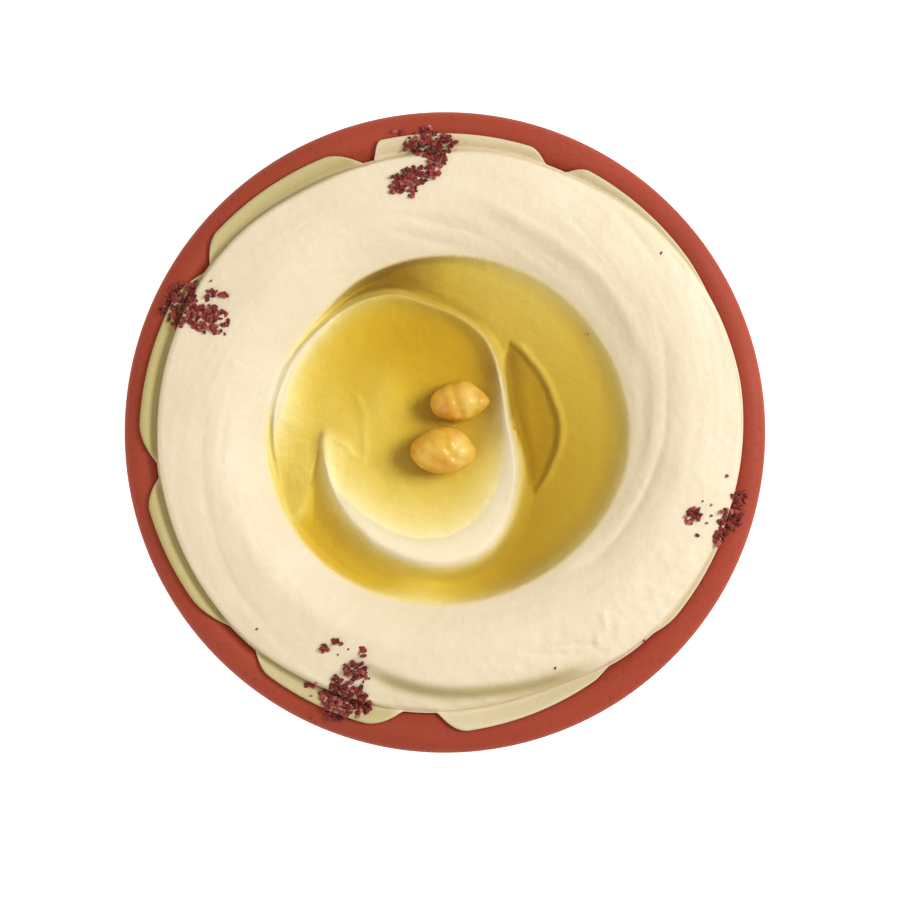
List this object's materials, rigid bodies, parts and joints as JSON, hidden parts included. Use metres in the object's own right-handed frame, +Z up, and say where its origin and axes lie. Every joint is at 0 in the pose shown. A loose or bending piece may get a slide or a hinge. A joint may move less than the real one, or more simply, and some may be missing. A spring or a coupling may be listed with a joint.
{
  "type": "hummus in a clay dish",
  "caption": "Ring of spread hummus in a shallow clay dish, with olive oil and whole chickpeas in its swirled well and pinches of sumac on the ring.",
  "frame": {"origin": "middle of the dish's foot, on the surface it stands on", "axes": "+Z up out of the dish; +Y is the top of the swirl as it is seen from above with the swirl's tail at the left"},
  "size_m": [0.14, 0.14, 0.0339],
  "materials": {
    "clay": "satin",
    "hummus": "matte",
    "olive_oil": "gloss",
    "chickpea": "satin",
    "sumac": "matte"
  },
  "bodies": {
    "root": {"plate": "clay", "hummus": "hummus", "olive_oil": "olive_oil", "chickpea_1": "chickpea", "chickpea_2": "chickpea"}
  },
  "joints": []
}
